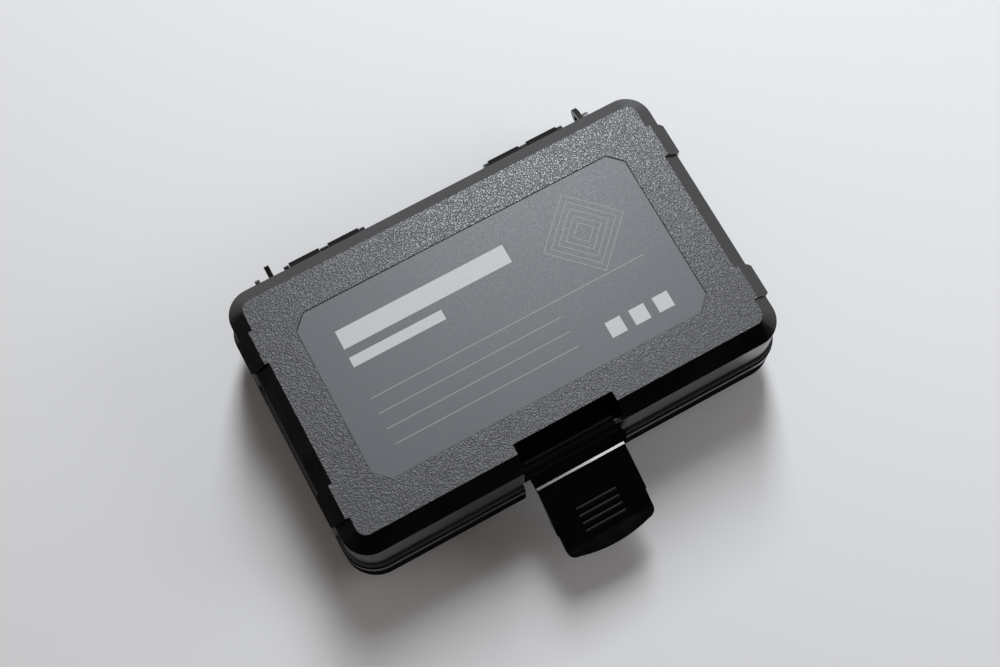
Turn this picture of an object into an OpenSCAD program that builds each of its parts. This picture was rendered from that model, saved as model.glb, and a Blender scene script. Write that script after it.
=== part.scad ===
// Small hard carrying case: two moulded shells with a rear hinge line, a swing latch on the
// lid's front, a label let into the lid, a rim seal and foam inside.
// X runs along the case, Y from front to rear, Z up. The origin is the middle of the bottom.

/* [Case] */
// Height of the closed case
case_h = 62; // [60:1:66]
// Height of the base, up to the parting line
base_h = 34; // [33:0.5:35]
// Width of the lid's textured top
top_w = 184; // [176:1:200]
// Depth of the lid's textured top, front to rear
top_d = 108.4; // [104:0.2:120]
// Corner radius of the textured top
top_r = 4.5; // [4.5:0.1:6]
// Thickness of the moulded walls
wall = 2.8; // [2.6:0.1:3]

/* [Lid] */
// Width and height of the smooth bevel round the top
bevel = 7; // [6:0.5:8]
// How far the lid's wall leans out from the bevel to the parting line
lid_draft = 0.8; // [0.4:0.1:1]
// Gap between the two shells at the parting line
parting_gap = 0.4; // [0.4:0.1:1]
// Height of the shadow groove round the lid's lower edge
groove = 0.8; // [0.5:0.1:1.2]
// Distance of the front side pads' middles from the case's middle
pad_front = 36.8; // [35:0.2:38]
// Distance of the rear side pads' middles from the case's middle
pad_rear = 34.4; // [33:0.2:37]
// Length of a side pad
pad_len = 12.4; // [10:0.2:16]
// How far a side pad stands proud of the wall
pad_proud = 1.6; // [1:0.1:2]

/* [Label] */
// Width of the label
label_w = 153.2; // [120:0.2:160]
// Depth of the label, front to rear
label_d = 78; // [60:1:84]
// Chamfer at the label's corners
label_chamfer = 6; // [4:0.5:10]
// Thickness of the label
label_t = 0.5; // [0.4:0.1:0.6]
// How deep the label's face lies below the textured top
label_inset = 0.5; // [0.3:0.1:0.6]

/* [Base] */
// How far the rim flange stands out past the lid's wall
flange_step = 1; // [0.8:0.1:1.2]
// Height of the rim flange
flange_h = 3; // [2.5:0.1:4]
// Width of the step under the flange
ledge = 0.8; // [0.4:0.1:1]
// Height of the slanted foot of the wall
foot_h = 15.5; // [12:0.5:16]
// How far the foot slants in
foot_in = 8; // [6:0.5:8]

/* [Hinges] */
// Distance of the hinge axis behind the case's middle
hinge_y = 68.5; // [68.5:0.1:70]
// Height of the hinge axis above the bottom
hinge_z = 29; // [28:0.1:29]
// Radius of a hinge barrel
barrel_r = 4.2; // [4:0.1:4.2]
// Radius of the hinge pins
hinge_pin_r = 1.5; // [1.3:0.1:1.7]

/* [Latch] */
// Half the width of the latch at its pivot
latch_half_w = 20.3; // [19:0.1:21.2]
// Length of the latch from its pivot to its tip
latch_len = 45.9; // [44:0.1:46]
// Height of the latch's pivot above the bottom
latch_z = 47.5; // [47:0.1:48]
// Distance of the latch's pivot in front of the case's middle
latch_y = 58.6; // [58.2:0.1:58.8]
// How far the latch stands swung out from its closed place
latch_rest = 57; // [0:1:120]
// How far the latch has slid to the left in its side play
latch_shift = 1.2; // [0:0.1:1.4]
// Radius of the latch's pin
latch_pin_r = 1.2; // [1:0.1:1.4]

/* [Foam] */
// Thickness of the foam sheet on the base's floor
foam_pad_t = 8; // [6:0.5:10]
// Corner radius of the well in the foam frame
well_r = 6; // [4:1:10]
// Thickness of the foam dividers
divider_t = 12; // [8:1:14]
// Distance of the long divider's middle to the right of the case's middle
divider_x = 34; // [20:1:40]

/* [Hidden] */
$fn = 96;

plastic = [0.045, 0.045, 0.05];
gloss = [0.02, 0.02, 0.022];
label_grey = [0.36, 0.37, 0.39];
steel = [0.75, 0.75, 0.77];
foam_grey = [0.13, 0.13, 0.14];
rubber = [0.08, 0.08, 0.08];

// Every outline of the case is this core rectangle grown by a radius.
core_x = top_w / 2 - top_r;
core_y = top_d / 2 - top_r;
bevel_z = case_h - bevel;
bevel_r = top_r + bevel;
lid_z = base_h + parting_gap;
lid_r = bevel_r + lid_draft;
flange_r = lid_r + flange_step;
flange_z = base_h - flange_h;
wall_r = flange_r + ledge;
girth_r = wall_r + 0.4;
foot_r = girth_r - foot_in;
foot_lean = foot_in / foot_h;
rim_t = 4; // the rim is thicker than the wall, to carry the seal
rim_h = 5;
rim_r = flange_r - rim_t;

notch_half_w = 22.6;
notch_y = 49.8;
recess_half_w = 24;
recess_y = 56;
shelf_z = latch_z - 5.5;
cheek_r = 3;
catch_z = latch_z - 25.6;
latch_barrel_r = 4.5;
latch_crease = 8.2; // the outer face steps out this far below the pivot
latch_out = 4.2; // the outer face lies this far in front of the pivot
rib_count = 4;
rib_pitch = 3.6;
rib_half_w = 9;
rib_r = 0.62;
rib_proud = 0.3;
latch_flare = 0.6; // the sides spread by this much down to the step near the tip
tip_step = 0.5;
tip_step_h = 31;
tip_corner = 4;
tip_bow = 2.4;

ear_spans = [[29.6, 2.4], [47.3, 3.8], [66.2, 2.4]];
barrel_spans = [[32.3, 14.7], [51.4, 14.5]];
ear_r = 3.6;
press_gap = 0.02;
run_gap = 0.05;

lug_x = 75;
lug_t = 2.2;
lug_hole_r = 2.1;
lug_hole_y = 67.4;
lug_hole_z = lid_z + 4.2;
rear_foot_x = 81.3;
rear_foot_y = 72.7;
rear_foot_t = 2.2;

seal_in = 1.1;
seal_w = 1.8;
seal_depth = 1.6;
seal_proud = 0.3;

foam_gap = 0.4;
foam_top = base_h - 0.7;
divider_gap = 0.2;
well_x = 82;
well_front = -40;
well_rear = 42;
lid_foam_z = base_h + 1.2;
foam_lid_r = 7.5;

cut = 0.01; // makes cutters pass clear of the faces they open
far = 200;

// Solid over the core rectangle, grown outwards by an outline of [radius, height] points.
module grown(outline) {
    low = outline[0][1];
    high = outline[len(outline) - 1][1];
    section = concat([[0, low]], outline, [[0, high]]);
    for (quarter = [0:3]) {
        side_x = quarter == 0 || quarter == 3 ? 1 : -1;
        side_y = quarter < 2 ? 1 : -1;
        translate([side_x * core_x, side_y * core_y, 0])
            rotate([0, 0, 90 * quarter])
                rotate_extrude(angle = 90)
                    polygon(section);
    }
    for (side = [0, 1]) {
        mirror([side, 0, 0])
            translate([core_x, core_y, 0])
                rotate([90, 0, 0])
                    linear_extrude(2 * core_y)
                        polygon(section);
        mirror([0, side, 0])
            translate([-core_x, core_y, 0])
                rotate([90, 0, 90])
                    linear_extrude(2 * core_x)
                        polygon(section);
    }
    translate([-core_x, -core_y, low])
        cube([2 * core_x, 2 * core_y, high - low]);
}

// Box in front of the case's middle: half width, rear face, lower and upper height.
module front_box(half_w, rear_y, low, high) {
    translate([-half_w, -far, low])
        cube([2 * half_w, far - rear_y, high - low]);
}

module mirrored_pair() {
    for (side = [0, 1]) {
        mirror([side, 0, 0]) children();
    }
}

// Round bar along X from x0, at the hinge line.
module hinge_bar(x0, length, r) {
    translate([x0, hinge_y, hinge_z])
        rotate([0, 90, 0])
            cylinder(h = length, r = r);
}

// Profile in Y and Z, drawn out along X from x0.
module along_x(x0, length) {
    translate([x0, 0, 0])
        rotate([90, 0, 90])
            linear_extrude(length)
                children();
}

// ---- Base ----

module base_outside() {
    grown([
        [foot_r, 0],
        [girth_r, foot_h],
        [wall_r, flange_z - ledge],
        [flange_r, flange_z],
        [flange_r, base_h]
    ]);
}

module base_inside() {
    inner_r = wall_r - wall;
    grown([
        [foot_r - wall, wall],
        [inner_r, wall + (inner_r - foot_r + wall) / foot_lean],
        [inner_r, base_h - rim_h],
        [rim_r, base_h - rim_h + inner_r - rim_r],
        [rim_r, base_h + 1]
    ]);
}

module base_recess(skin) {
    front_box(recess_half_w + skin, recess_y - skin, -1, base_h + 2);
}

module base_ear(x0, length) {
    hinge_bar(x0, length, ear_r);
    along_x(x0, length)
        polygon([
            [core_y + wall_r - 1, hinge_z - 17],
            [core_y + wall_r + 0.4, hinge_z - 17],
            [hinge_y + ear_r - 0.4, hinge_z - 1.2],
            [hinge_y, hinge_z],
            [hinge_y - ear_r, hinge_z + 0.5],
            [core_y + wall_r - 1, hinge_z + 0.5]
        ]);
}

// Thin plate on the rear wall that the case can stand on.
module rear_foot() {
    along_x(rear_foot_x - rear_foot_t / 2, rear_foot_t)
        polygon([
            [core_y + wall_r - 1, base_h - 15],
            [core_y + wall_r + 0.6, base_h - 15],
            [rear_foot_y, base_h - 10.5],
            [rear_foot_y, base_h - 5.5],
            [rear_foot_y - 1.3, base_h - 4],
            [core_y + wall_r - 1, base_h - 4]
        ]);
}

// Ledge on the recess's back wall that the latch's hook sits under.
module catch_ledge() {
    along_x(-13, 26)
        polygon([
            [-recess_y + 1, catch_z],
            [-recess_y - 3.5, catch_z],
            [-recess_y - 3.5, catch_z + 1.6],
            [-recess_y + 1, catch_z + 6]
        ]);
}

module seal_path(inset, low, high) {
    difference() {
        grown([[flange_r - inset, low], [flange_r - inset, high]]);
        front_box(recess_half_w + inset, recess_y - inset, low - 1, high + 1);
    }
}

module seal_ring(low, high) {
    difference() {
        seal_path(seal_in, low, high);
        seal_path(seal_in + seal_w, low - 1, high + 1);
    }
}

module base_shell() {
    color(plastic)
        difference() {
            union() {
                difference() {
                    base_outside();
                    difference() {
                        base_inside();
                        base_recess(wall);
                    }
                    base_recess(0);
                    seal_ring(base_h - seal_depth, base_h + 1);
                }
                catch_ledge();
                mirrored_pair() {
                    for (span = ear_spans) {
                        base_ear(span[0], span[1]);
                    }
                    rear_foot();
                }
            }
            mirrored_pair()
                hinge_bar(ear_spans[0][0] - 1, 41, hinge_pin_r + press_gap);
        }
}

module seal_gasket() {
    color(rubber)
        seal_ring(base_h - seal_depth, base_h + seal_proud);
}

// ---- Lid ----

module lid_outside() {
    grown([
        [lid_r - groove, lid_z],
        [lid_r - groove, lid_z + groove],
        [lid_r, lid_z + groove],
        [bevel_r, bevel_z],
        [top_r, case_h]
    ]);
}

module lid_inside() {
    roof_z = case_h - wall - label_t - label_inset;
    inner_r = bevel_r - wall;
    roof_r = top_r - wall * sqrt(2) + case_h - roof_z;
    grown([
        [inner_r, lid_z - 1],
        [inner_r, roof_z - inner_r + roof_r],
        [roof_r, roof_z]
    ]);
}

// Space for the latch: deep at the pivot, shallower beside the closed latch.
module lid_notch(skin) {
    front_box(notch_half_w + skin, notch_y - skin, shelf_z - skin, case_h + 1);
    front_box(notch_half_w + skin, recess_y - skin, lid_z - 2, shelf_z + 1);
}

// Rounds the wall's upright edge where the notch cuts it.
module cheek_round() {
    front = core_y + lid_r + 1;
    back = core_y + lid_r - cheek_r;
    translate([notch_half_w, -front, lid_z - 1])
        linear_extrude(bevel_z - lid_z + 1)
            difference() {
                translate([-cut, 0]) square([cheek_r + cut, front - back]);
                translate([cheek_r, front - back]) circle(r = cheek_r);
            }
}

module side_pad(middle_y) {
    x_wall = core_x + lid_r;
    half_len = pad_len / 2;
    intersection() {
        translate([0, middle_y, lid_z])
            linear_extrude(case_h - lid_z)
                polygon([
                    [core_x, -half_len - 1.4],
                    [x_wall - 0.8, -half_len - 1.4],
                    [x_wall + pad_proud, -half_len],
                    [x_wall + pad_proud, half_len],
                    [x_wall - 0.8, half_len + 1.4],
                    [core_x, half_len + 1.4]
                ]);
        translate([core_x, far / 2, 0])
            rotate([90, 0, 0])
                linear_extrude(far)
                    polygon([
                        [bevel_r - 1, lid_z],
                        [lid_r + pad_proud, lid_z],
                        [bevel_r + pad_proud, bevel_z + 0.2],
                        [top_r + pad_proud + 0.2, case_h],
                        [top_r - 1, case_h],
                        [top_r - 1, case_h - bevel]
                    ]);
    }
}

module lid_barrel(x0, length) {
    hinge_bar(x0, length, barrel_r);
    along_x(x0, length)
        polygon([
            [core_y + bevel_r - 1, lid_z + 0.4],
            [core_y + flange_r + 0.5, lid_z + 0.4],
            [hinge_y - barrel_r + 0.2, hinge_z + 1.5],
            [hinge_y, hinge_z],
            [hinge_y + barrel_r - 0.5, hinge_z + 2],
            [core_y + lid_r + 2, lid_z + 5.6],
            [core_y + bevel_r - 1, lid_z + 8.4]
        ]);
}

module lanyard_lug() {
    along_x(lug_x - lug_t / 2, lug_t)
        difference() {
            polygon([
                [core_y + bevel_r - 1, lid_z + 0.4],
                [69.8, lid_z + 0.4],
                [72.2, lid_z + 3],
                [72.2, lid_z + 5.8],
                [69.6, lid_z + 8],
                [core_y + bevel_r - 1, lid_z + 10.6]
            ]);
            translate([lug_hole_y, lug_hole_z]) circle(r = lug_hole_r);
        }
}

module label_outline(w, d) {
    polygon([
        [-w / 2 + label_chamfer, -d / 2],
        [w / 2 - label_chamfer, -d / 2],
        [w / 2, -d / 2 + label_chamfer],
        [w / 2, d / 2 - label_chamfer],
        [w / 2 - label_chamfer, d / 2],
        [-w / 2 + label_chamfer, d / 2],
        [-w / 2, d / 2 - label_chamfer],
        [-w / 2, -d / 2 + label_chamfer]
    ]);
}

module lid_shell() {
    label_z = case_h - label_inset - label_t;
    color(plastic)
        difference() {
            union() {
                difference() {
                    union() {
                        lid_outside();
                        mirrored_pair() {
                            side_pad(-pad_front);
                            side_pad(pad_rear);
                        }
                    }
                    difference() {
                        lid_inside();
                        lid_notch(wall);
                    }
                }
                mirrored_pair() {
                    for (span = barrel_spans) {
                        lid_barrel(span[0], span[1]);
                    }
                    lanyard_lug();
                }
            }
            lid_notch(0);
            mirrored_pair() {
                hinge_bar(ear_spans[0][0] - 1, 41, hinge_pin_r + run_gap);
                cheek_round();
            }
            translate([-notch_half_w - 2, -latch_y, latch_z])
                rotate([0, 90, 0])
                    cylinder(h = 2 * notch_half_w + 4, r = latch_pin_r + press_gap);
            translate([0, 0, label_z])
                linear_extrude(case_h)
                    label_outline(label_w, label_d);
        }
}

module label_plate() {
    slack = 0.2;
    color(label_grey)
        translate([0, 0, case_h - label_inset - label_t])
            linear_extrude(label_t)
                label_outline(label_w - slack, label_d - slack);
}

// ---- Pins ----

module hinge_pin_right() {
    color(steel)
        hinge_bar(ear_spans[0][0] + 0.2, 38.6, hinge_pin_r);
}

module hinge_pin_left() {
    mirror([1, 0, 0]) hinge_pin_right();
}

module latch_pin() {
    color(steel)
        translate([-notch_half_w - 1.9, -latch_y, latch_z])
            rotate([0, 90, 0])
                cylinder(h = 2 * notch_half_w + 3.8, r = latch_pin_r);
}

// ---- Latch ----

// Every latch piece is drawn closed: first axis outwards from the pivot, second axis upwards.
module across_latch() {
    half_w = latch_half_w + latch_flare;
    translate([half_w, 0, 0])
        rotate([90, 0, -90])
            linear_extrude(2 * half_w)
                children();
}

module latch_bar() {
    head_r = 1.6;
    across_latch()
        circle(r = latch_barrel_r);
    across_latch()
        translate([3.9 - head_r, latch_barrel_r - head_r])
            circle(r = head_r);
    across_latch()
        polygon([
            [0, latch_barrel_r],
            [3.9 - head_r, latch_barrel_r],
            [3.9, latch_barrel_r - head_r],
            [3.4, -latch_crease],
            [latch_out, -latch_crease - 0.8],
            [latch_out, -latch_len + 7],
            [latch_out + 1, -latch_len],
            [2.8, -latch_len],
            [1.8, -latch_len + 7],
            [1.4, -24],
            [1.4, -14],
            [1, -10],
            [-2, -3.9],
            [0, 0]
        ]);
}

// Nose on the latch's back that goes under the catch.
module latch_hook() {
    across_latch()
        polygon([
            [2.6, -26],
            [-0.3, -26],
            [-0.3, -27.4],
            [2.6, -30.4]
        ]);
}

// Thumb ribs across the outer face, near the tip.
module latch_ribs() {
    first = latch_len - 7 - rib_count * rib_pitch;
    for (k = [0:rib_count - 1]) {
        translate([0, rib_r - latch_out - rib_proud, -first - k * rib_pitch]) {
            translate([-rib_half_w, 0, 0])
                rotate([0, 90, 0])
                    cylinder(h = 2 * rib_half_w, r = rib_r);
            for (side = [-1, 1]) {
                translate([side * rib_half_w, 0, 0])
                    sphere(r = rib_r);
            }
        }
    }
}

// Full depth block with the latch's outline: flared sides, rounded corners, a bowed tip.
module latch_face() {
    side_half_w = latch_half_w + latch_flare;
    tip_half_w = side_half_w - tip_step;
    side_h = latch_len - tip_bow - tip_corner;
    bow_half_w = tip_half_w - tip_corner;
    bow_r = (pow(bow_half_w, 2) + pow(tip_bow, 2)) / (2 * tip_bow);
    mirrored_pair()
        rotate([90, 0, 0])
            translate([0, 0, -far / 2])
                linear_extrude(far)
                    polygon([
                        [0, 2 * latch_barrel_r],
                        [latch_half_w, 2 * latch_barrel_r],
                        [latch_half_w, -latch_crease],
                        [side_half_w, -tip_step_h],
                        [tip_half_w, -tip_step_h - tip_step],
                        [tip_half_w, -side_h],
                        [0, -side_h]
                    ]);
    for (side = [-1, 1]) {
        translate([side * bow_half_w, far / 2, -side_h])
            rotate([90, 0, 0])
                cylinder(h = far, r = tip_corner);
    }
    intersection() {
        translate([0, far / 2, bow_r - latch_len])
            rotate([90, 0, 0])
                cylinder(h = far, r = bow_r);
        translate([-bow_half_w, -far / 2, -latch_len])
            cube([2 * bow_half_w, far, latch_len]);
    }
}

module latch() {
    color(gloss)
        translate([-latch_shift, -latch_y, latch_z])
            rotate([-latch_rest, 0, 0])
                difference() {
                    intersection() {
                        union() {
                            latch_bar();
                            latch_hook();
                            latch_ribs();
                        }
                        latch_face();
                    }
                    translate([-latch_half_w - 1, 0, 0])
                        rotate([0, 90, 0])
                            cylinder(h = 2 * latch_half_w + 2, r = latch_pin_r + run_gap);
                }
}

// ---- Foam ----

// The base's inside between two heights, less a gap all round.
module foam_slice(low, high) {
    full_z = wall + (rim_r - foot_r + wall) / foot_lean;
    intersection() {
        difference() {
            grown([
                [foot_r - wall - foam_gap, wall],
                [rim_r - foam_gap, full_z],
                [rim_r - foam_gap, base_h]
            ]);
            base_recess(wall + foam_gap);
        }
        translate([-far / 2, -far / 2, low])
            cube([far, far, high - low]);
    }
}

module foam_pad() {
    color(foam_grey)
        foam_slice(wall, wall + foam_pad_t);
}

// Foam left standing round a well with rounded corners.
module foam_frame() {
    low = wall + foam_pad_t;
    color(foam_grey)
        difference() {
            foam_slice(low, foam_top);
            for (x = [-well_x + well_r, well_x - well_r]) {
                for (y = [well_front + well_r, well_rear - well_r]) {
                    translate([x, y, low - 1])
                        cylinder(h = base_h, r = well_r);
                }
            }
            translate([-well_x + well_r, well_front, low - 1])
                cube([2 * (well_x - well_r), well_rear - well_front, base_h]);
            translate([-well_x, well_front + well_r, low - 1])
                cube([2 * well_x, well_rear - well_front - 2 * well_r, base_h]);
        }
}

// Foam block standing in the well: [left, front] and [right, rear].
module foam_block(near, away) {
    color(foam_grey)
        translate([near[0], near[1], wall + foam_pad_t])
            cube([away[0] - near[0], away[1] - near[1], foam_top - wall - foam_pad_t]);
}

module foam_divider_long() {
    foam_block(
        [divider_x - divider_t / 2, well_front + divider_gap],
        [divider_x + divider_t / 2, well_rear - divider_gap]
    );
}

module foam_divider_short() {
    middle_y = (well_front + well_rear) / 2;
    foam_block(
        [divider_x + divider_t / 2 + divider_gap, middle_y - divider_t / 2],
        [well_x - divider_gap, middle_y + divider_t / 2]
    );
}

module lid_foam() {
    roof_z = case_h - wall - label_t - label_inset - foam_gap;
    color(foam_grey)
        difference() {
            grown([
                [foam_lid_r, lid_foam_z],
                [foam_lid_r, roof_z - foam_lid_r + top_r],
                [top_r - foam_gap, roof_z - foam_gap]
            ]);
            lid_notch(wall + foam_gap);
        }
}

base_shell();
lid_shell();
label_plate();
seal_gasket();
hinge_pin_left();
hinge_pin_right();
latch();
latch_pin();
foam_pad();
foam_frame();
foam_divider_long();
foam_divider_short();
lid_foam();
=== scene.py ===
import math
import bmesh
import bpy
from mathutils import Matrix, Vector, noise


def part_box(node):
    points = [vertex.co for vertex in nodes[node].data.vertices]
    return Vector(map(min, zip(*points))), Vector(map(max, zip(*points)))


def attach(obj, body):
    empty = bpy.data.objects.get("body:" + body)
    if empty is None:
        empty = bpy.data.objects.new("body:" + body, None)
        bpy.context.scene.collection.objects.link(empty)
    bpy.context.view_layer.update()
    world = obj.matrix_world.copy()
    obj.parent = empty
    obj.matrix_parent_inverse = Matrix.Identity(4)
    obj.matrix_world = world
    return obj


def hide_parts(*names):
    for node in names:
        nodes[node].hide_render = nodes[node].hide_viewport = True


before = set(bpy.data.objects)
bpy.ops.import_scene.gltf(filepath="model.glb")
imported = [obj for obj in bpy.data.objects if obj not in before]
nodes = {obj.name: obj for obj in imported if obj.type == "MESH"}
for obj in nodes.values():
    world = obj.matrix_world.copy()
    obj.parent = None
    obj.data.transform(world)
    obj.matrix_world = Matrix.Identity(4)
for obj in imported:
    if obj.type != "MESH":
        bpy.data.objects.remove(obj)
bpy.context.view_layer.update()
print("frame loaded")

mm = 0.001
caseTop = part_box("lid_shell")[1][2]
middling = (0.3, 0.7)  # where most values of a noise lie

# How the CAD meshes are joined up, cut and softened. Angles are in degrees.
edgeLook = {
    "reach": 0.002 * mm,
    "flatAngle": 0.6,
    "cutReach": 0.001 * mm,
    "normalWeight": 50,
}


def linkMesh(bm, name):
    mesh = bpy.data.meshes.new(name)
    bm.to_mesh(mesh)
    bm.free()
    obj = bpy.data.objects.new(name, mesh)
    bpy.context.scene.collection.objects.link(obj)
    return obj


def softenEdges(obj, width, segments=3, angle=30):
    for face in obj.data.polygons:
        face.use_smooth = True
    mod = obj.modifiers.new("edges", "BEVEL")
    mod.width = width
    mod.segments = segments
    mod.limit_method = "ANGLE"
    mod.angle_limit = math.radians(angle)
    mod.use_clamp_overlap = True
    mod.miter_outer = "MITER_ARC"
    even = obj.modifiers.new("even", "WEIGHTED_NORMAL")
    even.weight = edgeLook["normalWeight"]
    even.keep_sharp = False


# The CAD node's loose triangles, joined up into clean faces.
def mergedNode(node):
    bm = bmesh.new()
    bm.from_mesh(nodes[node].data)
    bmesh.ops.remove_doubles(bm, verts=bm.verts, dist=edgeLook["reach"])
    bmesh.ops.dissolve_limit(bm, angle_limit=math.radians(edgeLook["flatAngle"]),
                             verts=bm.verts, edges=bm.edges)
    return bm


# Cuts a whole mesh along a plane and keeps both sides.
def cutAlong(bm, place, across):
    bmesh.ops.bisect_plane(bm, geom=bm.verts[:] + bm.edges[:] + bm.faces[:],
                           dist=edgeLook["cutReach"], plane_co=place, plane_no=across)


def placePiece(obj, body, material, node=None):
    obj.data.materials.append(material)
    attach(obj, body)
    if node:
        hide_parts(node)


# Adds a material for the faces that pass a test.
def paintFaces(obj, material, test):
    obj.data.materials.append(material)
    index = len(obj.data.materials) - 1
    for face in obj.data.polygons:
        if test(face):
            face.material_index = index


# A merged copy of a CAD node with softened edges, in the node's own place.
def softenedCopy(node, name, body, material, width, segments=3, cutAt=None):
    bm = mergedNode(node)
    if cutAt:
        cutAlong(bm, (0, 0, cutAt), (0, 0, 1))
    obj = linkMesh(bm, name)
    softenEdges(obj, width, segments)
    placePiece(obj, body, material, node)
    return obj


def newMaterial(name, specular=0.5):
    mat = bpy.data.materials.new(name)
    mat.use_nodes = True
    tree = mat.node_tree
    shader = tree.nodes["Principled BSDF"]
    shader.inputs["Specular IOR Level"].default_value = specular
    return mat, tree, shader


def objectCoords(tree):
    return tree.nodes.new("ShaderNodeTexCoord").outputs["Object"]


def noiseNode(tree, scale, detail, squash=None, output="Fac"):
    texture = tree.nodes.new("ShaderNodeTexNoise")
    texture.inputs["Scale"].default_value = scale
    texture.inputs["Detail"].default_value = detail
    source = objectCoords(tree)
    if squash:
        mapping = tree.nodes.new("ShaderNodeMapping")
        mapping.inputs["Scale"].default_value = squash
        tree.links.new(source, mapping.inputs["Vector"])
        source = mapping.outputs["Vector"]
    tree.links.new(source, texture.inputs["Vector"])
    return texture.outputs[output]


# Distance to the middle of the nearest cell, rounded off where smoothness is given.
def cellNode(tree, scale, vector, smoothness=None):
    cells = tree.nodes.new("ShaderNodeTexVoronoi")
    cells.feature = "SMOOTH_F1" if smoothness else "F1"
    cells.inputs["Scale"].default_value = scale
    if smoothness:
        cells.inputs["Smoothness"].default_value = smoothness
    tree.links.new(vector, cells.inputs["Vector"])
    return cells.outputs["Distance"]


def mathNode(tree, operation, a, b=None, c=None):
    node = tree.nodes.new("ShaderNodeMath")
    node.operation = operation
    for socket, value in zip(node.inputs, (a, b, c)):
        if value is None:
            continue
        if isinstance(value, (int, float)):
            socket.default_value = value
        else:
            tree.links.new(value, socket)
    return node.outputs[0]


def rampBetween(tree, source, limits, ends=(0, 1)):
    node = tree.nodes.new("ShaderNodeMapRange")
    node.inputs["From Min"].default_value = limits[0]
    node.inputs["From Max"].default_value = limits[1]
    node.inputs["To Min"].default_value = ends[0]
    node.inputs["To Max"].default_value = ends[1]
    tree.links.new(source, node.inputs["Value"])
    return node.outputs["Result"]


def colorFrom(tree, shader, source, dark, light):
    mix = tree.nodes.new("ShaderNodeMix")
    mix.data_type = "RGBA"
    mix.inputs["A"].default_value = (*dark, 1)
    mix.inputs["B"].default_value = (*light, 1)
    tree.links.new(source, mix.inputs["Factor"])
    tree.links.new(mix.outputs["Result"], shader.inputs["Base Color"])


def roughFrom(tree, shader, source, limits, ends):
    rough = rampBetween(tree, source, limits, ends)
    tree.links.new(rough, shader.inputs["Roughness"])


def bumpFrom(tree, shader, height, strength, distance):
    bump = tree.nodes.new("ShaderNodeBump")
    bump.inputs["Strength"].default_value = strength
    bump.inputs["Distance"].default_value = distance
    tree.links.new(height, bump.inputs["Height"])
    tree.links.new(bump.outputs["Normal"], shader.inputs["Normal"])


plasticLook = {
    "dark": (0.0012, 0.0012, 0.0013),
    "light": (0.0030, 0.0030, 0.0033),
    "specular": 0.36,
    "patches": 55,
    "skin": 2400,
    "roughRange": (0.12, 0.42),
    "rough": (0.17, 0.28),
    "bump": 0.30,
    "depth": 0.05 * mm,
}


# Satin moulded plastic: faint patches in the gloss over a very fine skin.
def satinPlastic():
    mat, tree, shader = newMaterial("satinPlastic", plasticLook["specular"])
    patches = noiseNode(tree, plasticLook["patches"], detail=4)
    skin = noiseNode(tree, plasticLook["skin"], detail=2)
    colorFrom(tree, shader, patches, plasticLook["dark"], plasticLook["light"])
    both = mathNode(tree, "MULTIPLY", patches, skin)
    roughFrom(tree, shader, both, plasticLook["roughRange"], plasticLook["rough"])
    bumpFrom(tree, shader, skin, plasticLook["bump"], plasticLook["depth"])
    return mat


grainLook = {
    # Painted shade: the grain's colour is dark in the hollows between the fine pebbles and light
    # on their tops.
    "dark": (0.004, 0.0042, 0.0050),
    "light": (0.070, 0.076, 0.093),
    "specular": 0.77,
    "warp": 1500,
    "warpReach": 0.5 * mm,
    "cells": 1120,
    "fineCells": 2600,
    "fineWeight": 0.4,
    "smoothness": 0.3,
    "slope": (0.48, 0.80),
    "hollowShadeSlope": (0.45, 0.85),
    "rough": (0.42, 0.32),  # from the hollows to the tops of the pebbles
    "waves": 1700,
    "waveWeight": 0.48,
    "depth": 0.115 * mm,
}


# Spark eroded grain of the lid's top: flat pebbles with steep sides, finer ones between them.
def grainedPlastic():
    mat, tree, shader = newMaterial("grainedPlastic", grainLook["specular"])
    warp = noiseNode(tree, grainLook["warp"], detail=2, output="Color")
    spread = tree.nodes.new("ShaderNodeVectorMath")
    spread.operation = "MULTIPLY_ADD"
    spread.inputs[1].default_value = (grainLook["warpReach"],) * 3
    tree.links.new(warp, spread.inputs[0])
    tree.links.new(objectCoords(tree), spread.inputs[2])
    heights = []
    for scale in (grainLook["cells"], grainLook["fineCells"]):
        cells = cellNode(tree, scale, spread.outputs[0], grainLook["smoothness"])
        heights.append(mathNode(tree, "SUBTRACT", 1.0, cells))
    both = mathNode(tree, "MULTIPLY_ADD", heights[1], grainLook["fineWeight"], heights[0])
    pebble = rampBetween(tree, both, grainLook["slope"])
    # Painted shade: darker in the hollows between the fine pebbles, lighter on their tops.
    hollowShade = rampBetween(tree, heights[1], grainLook["hollowShadeSlope"])
    colorFrom(tree, shader, hollowShade, grainLook["dark"], grainLook["light"])
    roughFrom(tree, shader, pebble, (0, 1), grainLook["rough"])
    wave = noiseNode(tree, grainLook["waves"], detail=2)
    height = mathNode(tree, "MULTIPLY_ADD", wave, grainLook["waveWeight"], pebble)
    bumpFrom(tree, shader, height, 1.0, grainLook["depth"])
    return mat


dullLook = {
    "dark": (0.0010, 0.0010, 0.0011),
    "light": (0.0022, 0.0022, 0.0024),
    "specular": 0.03,
    "baseDark": (0.0062, 0.0062, 0.0066),
    "baseLight": (0.0100, 0.0100, 0.0106),
    "baseSpecular": 0.0,
    "patches": 60,
    "skin": 2600,
    "rough": (0.34, 0.46),
    "bump": 0.4,
    "depth": 0.05 * mm,
}


# The dull, finely blasted skin of the base, the notch, the barrels and the latch's head.
def dullPlastic(name, dark, light, specular):
    mat, tree, shader = newMaterial(name, specular)
    patches = noiseNode(tree, dullLook["patches"], detail=3)
    skin = noiseNode(tree, dullLook["skin"], detail=2)
    colorFrom(tree, shader, patches, dark, light)
    roughFrom(tree, shader, skin, middling, dullLook["rough"])
    bumpFrom(tree, shader, skin, dullLook["bump"], dullLook["depth"])
    return mat


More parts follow.
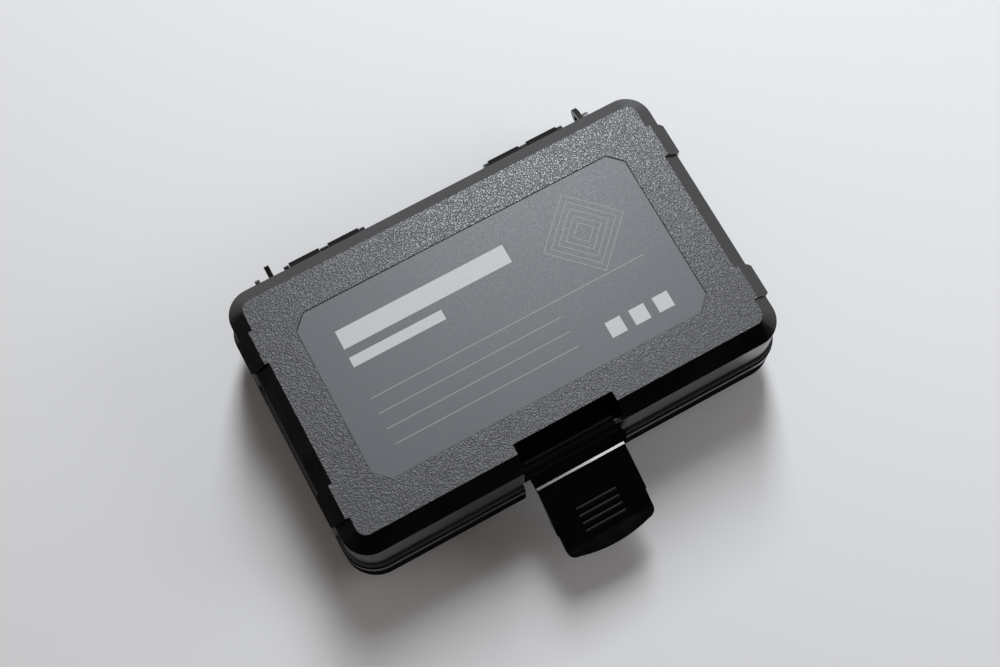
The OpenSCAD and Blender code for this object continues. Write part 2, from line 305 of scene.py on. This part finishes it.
# Width of the softened edges, and the bounds that tell the faces of each skin apart.
shellLook = {
    "edge": 0.45 * mm,
    "level": 0.99,
    "topSlack": 0.02 * mm,
    "notchHalf": 23.0 * mm,
    "notchRear": -50 * mm,
    "notchBelow": 1.0 * mm,
    "barrelFront": 64.5 * mm,
    "barrelEnd": 72.0 * mm,
    "bandLow": 26.4 * mm,
    "recessHalf": 24.5 * mm,
    "recessRear": -50 * mm,
}


def lidTop(face):
    return (face.normal.z > shellLook["level"]
            and face.center.z > caseTop - shellLook["topSlack"])


# The latch's notch and the hinge barrels.
def lidDull(face):
    place = face.center
    inNotch = (abs(place.x) < shellLook["notchHalf"] and place.y < shellLook["notchRear"]
               and place.z < caseTop - shellLook["notchBelow"])
    onBarrel = place.y > shellLook["barrelFront"] and abs(place.x) < shellLook["barrelEnd"]
    return inNotch or onBarrel


# The rim, the wall just below it outside the latch's recess, and the thin rear plates.
def baseSatin(face):
    place = face.center
    inRecess = abs(place.x) < shellLook["recessHalf"] and place.y < shellLook["recessRear"]
    onBand = place.z > shellLook["bandLow"] and not inRecess
    onPlate = place.y > shellLook["barrelFront"] and abs(place.x) > shellLook["barrelEnd"]
    return onBand or onPlate


def makeShells(satin, grained, baseSkin, dull):
    lid = softenedCopy("lid_shell", "lidShell", "lid", satin,
                       shellLook["edge"])
    paintFaces(lid, grained, lidTop)
    paintFaces(lid, dull, lidDull)
    base = softenedCopy("base_shell", "baseShell", "base", baseSkin,
                        shellLook["edge"], cutAt=shellLook["bandLow"])
    paintFaces(base, satin, baseSatin)
    print("shells made")


latchLook = {
    "edge": 0.35 * mm,
    "headStart": -63.6 * mm,
    "ribStart": -67.0 * mm,
    "ribEnd": -92.0 * mm,
    "ribHalf": 12 * mm,
    "ribArea": 16 * mm * mm,
    "dark": (0.0010, 0.0010, 0.0011),
    "light": (0.0020, 0.0020, 0.0022),
    "specular": 0.5,
    "ribSpecular": 0.16,
    "patches": 120,
    "skin": 2000,
    "rough": (0.12, 0.20),
    "ribRough": (0.36, 0.44),
    "bump": 0.12,
    "depth": 0.03 * mm,
}


# Black plastic of the latch: glossy on the plate, duller on the thumb ribs.
def latchPlastic(name, rough, specular):
    mat, tree, shader = newMaterial(name, specular)
    patches = noiseNode(tree, latchLook["patches"], detail=3)
    skin = noiseNode(tree, latchLook["skin"], detail=2)
    colorFrom(tree, shader, patches, latchLook["dark"], latchLook["light"])
    roughFrom(tree, shader, patches, middling, rough)
    bumpFrom(tree, shader, skin, latchLook["bump"], latchLook["depth"])
    return mat


def latchHead(face):
    return face.center.y > latchLook["headStart"]


# The thumb ribs' own small faces.
def latchRibs(face):
    return (latchLook["ribEnd"] < face.center.y < latchLook["ribStart"]
            and abs(face.center.x) < latchLook["ribHalf"]
            and face.area < latchLook["ribArea"])


def makeLatch(glossy, ribbed, dull):
    latch = softenedCopy("latch", "swingLatch", "swing_latch", glossy,
                         latchLook["edge"])
    paintFaces(latch, dull, latchHead)
    paintFaces(latch, ribbed, latchRibs)
    print("latch made")


sealLook = {
    "edge": 0.35 * mm,
    "dark": (0.012, 0.012, 0.012),
    "light": (0.028, 0.028, 0.028),
    "dust": 300,
    "rough": 0.72,
    "bump": 0.2,
    "depth": 0.05 * mm,
}


def sealRubber():
    mat, tree, shader = newMaterial("sealRubber")
    dust = noiseNode(tree, sealLook["dust"], detail=4)
    colorFrom(tree, shader, dust, sealLook["dark"], sealLook["light"])
    shader.inputs["Roughness"].default_value = sealLook["rough"]
    bumpFrom(tree, shader, dust, sealLook["bump"], sealLook["depth"])
    return mat


pinLook = {
    "edge": 0.25 * mm,
    "dark": (0.035, 0.035, 0.037),
    "light": (0.070, 0.070, 0.073),
    "lines": 900,
    "squash": (0.05, 1, 1),
    "rough": (0.28, 0.42),
    "bump": 0.1,
    "depth": 0.02 * mm,
}


# Blackened steel wire, drawn lengthwise.
def pinSteel():
    mat, tree, shader = newMaterial("pinSteel")
    lines = noiseNode(tree, pinLook["lines"], detail=2, squash=pinLook["squash"])
    colorFrom(tree, shader, lines, pinLook["dark"], pinLook["light"])
    shader.inputs["Metallic"].default_value = 1
    roughFrom(tree, shader, lines, middling, pinLook["rough"])
    bumpFrom(tree, shader, lines, pinLook["bump"], pinLook["depth"])
    return mat


def makePinsAndSeal(steel, rubber):
    softenedCopy("seal_gasket", "rimSeal", "base", rubber, sealLook["edge"])
    for node, name, body in (("hinge_pin_left", "hingePinLeft", "base"),
                             ("hinge_pin_right", "hingePinRight", "base"),
                             ("latch_pin", "latchPin", "lid")):
        softenedCopy(node, name, body, steel, pinLook["edge"])
    print("pins and seal made")


labelLook = {
    "edge": 0.12 * mm,
    "segments": 2,
    "film": (0.075, 0.080, 0.092),
    "filmLight": (0.085, 0.090, 0.103),
    "filmRough": (0.38, 0.50),
    "print": (0.46, 0.47, 0.485),
    "faintPrint": (0.24, 0.245, 0.255),
    "printRough": (0.45, 0.57),
    "clouds": 18,
    "fibre": 1500,
    "bump": 0.08,
    "depth": 0.04 * mm,
    "inkThickness": 0.03 * mm,
}

# Blank print, in millimetres. Bars and rules give left, front, right and rear.
printLook = {
    "bars": [(-63, 17, 14, 25.5), (-63, 8.5, -21, 13), (56, -31, 63, -24),
             (45, -31, 52, -24), (34, -31, 41, -24)],
    "rules": [(-63, -6.4, 63, -6), (-63, -13.4, 20, -13), (-63, -20.4, 20, -20),
              (-63, -27.4, 20, -27)],
    "ringMiddle": (46, 14),
    "ringRadii": (5, 8.5, 12, 15.5, 19),
    "ringLine": 0.45,
}


# Smooth film with faint clouds, for the label and its blank print.
def flatFilm(name, dark, light, rough):
    mat, tree, shader = newMaterial(name)
    clouds = noiseNode(tree, labelLook["clouds"], detail=3)
    fibre = noiseNode(tree, labelLook["fibre"], detail=2)
    colorFrom(tree, shader, clouds, dark, light)
    roughFrom(tree, shader, fibre, middling, rough)
    bumpFrom(tree, shader, fibre, labelLook["bump"], labelLook["depth"])
    return mat


def inkSlab(bm, bar, low, high):
    left, front, right, rear = [v * mm for v in bar]
    size = Matrix.Diagonal((right - left, rear - front, high - low, 1))
    middle = Matrix.Translation(((left + right) / 2, (front + rear) / 2, (low + high) / 2))
    bmesh.ops.create_cube(bm, size=1, matrix=middle @ size)


# A square line on its corner: the line's section, spun round in four steps.
def inkRing(bm, radius, low, high):
    x, y = [v * mm for v in printLook["ringMiddle"]]
    outer = x + radius * mm
    inner = outer - printLook["ringLine"] * mm
    section = [bm.verts.new((side, y, height)) for side, height in
               ((inner, low), (outer, low), (outer, high), (inner, high))]
    edges = [bm.edges.new((section[k - 1], section[k])) for k in range(4)]
    bmesh.ops.spin(bm, geom=section + edges, cent=(x, y, 0), axis=(0, 0, 1),
                   angle=2 * math.pi, steps=4, use_merge=True)


def makeLabel(film, pale, faint):
    softenedCopy("label_plate", "labelPlate", "lid", film, labelLook["edge"],
                 labelLook["segments"])
    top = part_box("label_plate")[1][2]
    low, high = top - labelLook["inkThickness"], top + labelLook["inkThickness"]
    bars = bmesh.new()
    for bar in printLook["bars"]:
        inkSlab(bars, bar, low, high)
    lines = bmesh.new()
    for rule in printLook["rules"]:
        inkSlab(lines, rule, low, high)
    for radius in printLook["ringRadii"]:
        inkRing(lines, radius, low, high)
    bmesh.ops.recalc_face_normals(lines, faces=lines.faces)
    placePiece(linkMesh(bars, "labelBars"), "lid", pale)
    placePiece(linkMesh(lines, "labelLines"), "lid", faint)
    print("label made")


foamLook = {
    "edge": 0.8 * mm,
    "sheetEdge": 0.56 * mm,
    "segments": 3,
    "angle": 50,
    "step": 2.6 * mm,
    "bumpPitch": 12.0 * mm,
    "bumpDepth": 7.0 * mm,
    "flatRim": 5.0 * mm,
    "notchHalf": 27 * mm,
    "notchRear": -46 * mm,
    "lowSlack": 0.01 * mm,
    "cutStep": 6.0 * mm,
    "cutWander": 0.35 * mm,
    "wanderScale": 70,
    # Painted shade: dark down in the pores, light on the cell walls.
    "dark": (0.012, 0.012, 0.013),
    "light": (0.050, 0.050, 0.054),
    "pores": 1300,
    "finePores": 3000,
    "fineWeight": 0.4,
    "hollowShadeRange": (0.25, 0.95),
    "rough": 0.95,
    "sheen": 0.25,
    "sheenRough": 0.6,
    "bump": 0.8,
    "depth": 0.25 * mm,
}


# Open cell foam: pores in two sizes, with painted shade darker down in the holes.
def softFoam():
    mat, tree, shader = newMaterial("softFoam")
    coarse, fine = [cellNode(tree, foamLook[size], objectCoords(tree))
                    for size in ("pores", "finePores")]
    both = mathNode(tree, "MULTIPLY_ADD", fine, foamLook["fineWeight"], coarse)
    hollowShade = rampBetween(tree, both, foamLook["hollowShadeRange"])
    colorFrom(tree, shader, hollowShade, foamLook["dark"], foamLook["light"])
    shader.inputs["Roughness"].default_value = foamLook["rough"]
    shader.inputs["Sheen Weight"].default_value = foamLook["sheen"]
    shader.inputs["Sheen Roughness"].default_value = foamLook["sheenRough"]
    bumpFrom(tree, shader, both, foamLook["bump"], foamLook["depth"])
    return mat


# Cuts a mesh along a grid so that its faces can be moved.
def cutGrid(bm, step):
    for axis in (0, 1):
        low = min(v.co[axis] for v in bm.verts)
        high = max(v.co[axis] for v in bm.verts)
        count = int((high - low) / step)
        for k in range(1, count):
            place, across = Vector(), Vector()
            place[axis] = low + (high - low) * k / count
            across[axis] = 1
            cutAlong(bm, place, across)


# The lid's foam with its lower side cut in rounded peaks and hollows, which fade out
# towards the rim and the latch's notch.
def makeLidFoam(foam):
    bm = mergedNode("lid_foam")
    low = min(v.co.z for v in bm.verts)
    cutGrid(bm, foamLook["step"])
    reachX = max(v.co.x for v in bm.verts)
    reachY = max(v.co.y for v in bm.verts)
    pitch = math.pi / foamLook["bumpPitch"]
    for v in bm.verts:
        if v.co.z > low + foamLook["lowSlack"]:
            continue
        inward = min(reachX - abs(v.co.x), reachY - abs(v.co.y))
        if abs(v.co.x) < foamLook["notchHalf"]:
            inward = min(inward, v.co.y - foamLook["notchRear"])
        fade = min(1, max(0, inward / foamLook["flatRim"]))
        wave = 0.5 - 0.5 * math.cos(v.co.x * pitch) * math.cos(v.co.y * pitch)
        v.co.z += foamLook["bumpDepth"] * wave * fade * fade * (3 - 2 * fade)
    obj = linkMesh(bm, "lidFoam")
    softenEdges(obj, foamLook["edge"], foamLook["segments"], foamLook["angle"])
    placePiece(obj, "lid", foam, "lid_foam")


# Foam pieces of the base, with the slight wander of hand cut walls.
def makeCutFoam(node, name, foam, edge):
    bm = mergedNode(node)
    cutGrid(bm, foamLook["cutStep"])
    bmesh.ops.recalc_face_normals(bm, faces=bm.faces)
    bm.normal_update()
    moves = []
    for v in bm.verts:
        depth = 0.5 + 0.5 * noise.noise(v.co * foamLook["wanderScale"])
        moves.append(v.normal * (-foamLook["cutWander"] * depth))
    for v, move in zip(bm.verts, moves):
        v.co += move
    obj = linkMesh(bm, name)
    softenEdges(obj, edge, foamLook["segments"], foamLook["angle"])
    placePiece(obj, "base", foam, node)


def makeFoam(foam):
    for node, name, edge in (("foam_frame", "foamFrame", foamLook["edge"]),
                             ("foam_divider_long", "foamDividerLong", foamLook["edge"]),
                             ("foam_divider_short", "foamDividerShort", foamLook["edge"]),
                             ("foam_pad", "foamSheet", foamLook["sheetEdge"])):
        makeCutFoam(node, name, foam, edge)
    makeLidFoam(foam)
    print("foam made")


view = {
    "left": 78.39 * mm,
    "front": 152.62 * mm,
    "aboveTop": 567.60 * mm,
    "turn": (15.982, 0.544, -28.728),  # degrees about X, Y, Z
    "lens": 52.76,
    "sensor": 36,
    "nearest": 10 * mm,
}


def makeCamera():
    cam = bpy.data.cameras.new("camera")
    cam.lens = view["lens"]
    cam.sensor_width = view["sensor"]
    cam.clip_start = view["nearest"]
    obj = bpy.data.objects.new("camera", cam)
    obj.location = (-view["left"], -view["front"], caseTop + view["aboveTop"])
    obj.rotation_euler = [math.radians(a) for a in view["turn"]]
    bpy.context.scene.collection.objects.link(obj)
    bpy.context.scene.camera = obj


# The window is behind the case and to its right, a weaker fill to the right and in front.
# Dark cards stand in front and to the left, and a lower one stands behind.
studio = {
    "aim": (0, 0, 30 * mm),
    "windowPlace": (0.350, 0.640, 1.00),
    "windowSize": (0.28, 0.78),
    "windowPower": 14.4,
    "lampColor": (0.95, 0.98, 1.0),
    "fillPlace": (0.75, -0.35, 0.55),
    "fillSize": (0.5, 0.5),
    "fillPower": 2.1,
    "roomColor": (1.0, 0.88, 0.81),
    "roomLevel": 0.18,
    "paleColor": (0.98, 0.98, 1.0),
    "paleLevel": 0.68,
    "floorSize": 1.15,
    "floorColor": (0.73, 0.737, 0.751, 1),
    "floorRough": 0.85,
    "floorGrain": 90,
    "floorBump": 0.05,
    "floorDepth": 0.3 * mm,
    "cardDistance": 0.55,
    "cardWidth": 1.6,
    "cardHeight": 0.60,
    "rearCard": 0.38,
    "cardLift": 1 * mm,
    "cardColor": (0.006, 0.006, 0.006, 1),
    "cardRough": 0.95,
    "cardSpecular": 0.1,
}


def makeLamp(name, place, size, power):
    lamp = bpy.data.lights.new(name, "AREA")
    lamp.shape = "RECTANGLE"
    lamp.size, lamp.size_y = size
    lamp.energy = power
    lamp.color = studio["lampColor"]
    obj = bpy.data.objects.new(name, lamp)
    obj.location = place
    toward = Vector(studio["aim"]) - Vector(place)
    obj.rotation_euler = toward.to_track_quat("-Z", "Y").to_euler()
    bpy.context.scene.collection.objects.link(obj)
    return obj


# The room lights the object softly; the camera and mirror like surfaces see it pale.
def makeRoom():
    world = bpy.data.worlds.new("room")
    bpy.context.scene.world = world
    world.use_nodes = True
    tree = world.node_tree
    tree.nodes.clear()
    out = tree.nodes.new("ShaderNodeOutputWorld")
    mix = tree.nodes.new("ShaderNodeMixShader")
    for k, kind in enumerate(("room", "pale")):
        glow = tree.nodes.new("ShaderNodeBackground")
        glow.inputs["Color"].default_value = (*studio[kind + "Color"], 1)
        glow.inputs["Strength"].default_value = studio[kind + "Level"]
        tree.links.new(glow.outputs[0], mix.inputs[k + 1])
    path = tree.nodes.new("ShaderNodeLightPath")
    seen = mathNode(tree, "MAXIMUM", path.outputs["Is Camera Ray"], path.outputs["Is Glossy Ray"])
    seen = mathNode(tree, "MAXIMUM", seen, path.outputs["Is Transmission Ray"])
    tree.links.new(seen, mix.inputs[0])
    tree.links.new(mix.outputs[0], out.inputs["Surface"])


def floorPaint():
    mat, tree, shader = newMaterial("floorPaint", specular=0)
    shader.inputs["Base Color"].default_value = studio["floorColor"]
    shader.inputs["Roughness"].default_value = studio["floorRough"]
    grain = noiseNode(tree, studio["floorGrain"], detail=3)
    bumpFrom(tree, shader, grain, studio["floorBump"], studio["floorDepth"])
    return mat


def makeFloor():
    bm = bmesh.new()
    bmesh.ops.create_grid(bm, x_segments=1, y_segments=1, size=studio["floorSize"])
    floor = linkMesh(bm, "floor")
    floor.data.materials.append(floorPaint())


def cardBlack():
    mat, _, shader = newMaterial("cardBlack", studio["cardSpecular"])
    shader.inputs["Base Color"].default_value = studio["cardColor"]
    shader.inputs["Roughness"].default_value = studio["cardRough"]
    return mat


# Each card stands upright from start to end. Only reflections show it.
def makeCards():
    black = cardBlack()
    half = studio["cardWidth"] / 2
    away, height = studio["cardDistance"], studio["cardHeight"]
    for name, start, end, top in (("cardFront", (-away, -away), (half, -away), height),
                                  ("cardLeft", (-away, half), (-away, -away), height),
                                  ("cardRear", (0.0, away), (-away, away), studio["rearCard"])):
        bm = bmesh.new()
        low = [bm.verts.new((x, y, studio["cardLift"])) for x, y in (start, end)]
        high = [bm.verts.new((x, y, top)) for x, y in (start, end)]
        bm.faces.new((low[0], low[1], high[1], high[0]))
        card = linkMesh(bm, name)
        card.data.materials.append(black)
        card.visible_camera = False
        card.visible_diffuse = False
        card.visible_shadow = False


def makeStudio():
    bpy.context.scene.view_settings.view_transform = "Standard"
    makeLamp("window", studio["windowPlace"], studio["windowSize"], studio["windowPower"])
    fill = makeLamp("fill", studio["fillPlace"], studio["fillSize"], studio["fillPower"])
    fill.visible_glossy = False
    makeRoom()
    makeFloor()
    makeCards()
    print("studio made")


makeCamera()
dull = dullPlastic("dullPlastic", dullLook["dark"], dullLook["light"], dullLook["specular"])
baseSkin = dullPlastic("basePlastic", dullLook["baseDark"], dullLook["baseLight"],
                       dullLook["baseSpecular"])
makeShells(satinPlastic(), grainedPlastic(), baseSkin, dull)
makeLatch(latchPlastic("latchPlastic", latchLook["rough"], latchLook["specular"]),
          latchPlastic("ribPlastic", latchLook["ribRough"], latchLook["ribSpecular"]), dull)
makePinsAndSeal(pinSteel(), sealRubber())
makeLabel(flatFilm("labelFilm", labelLook["film"], labelLook["filmLight"],
                   labelLook["filmRough"]),
          flatFilm("labelPrint", labelLook["print"], labelLook["print"],
                   labelLook["printRough"]),
          flatFilm("labelFaintPrint", labelLook["faintPrint"], labelLook["faintPrint"],
                   labelLook["printRough"]))
makeFoam(softFoam())
makeStudio()
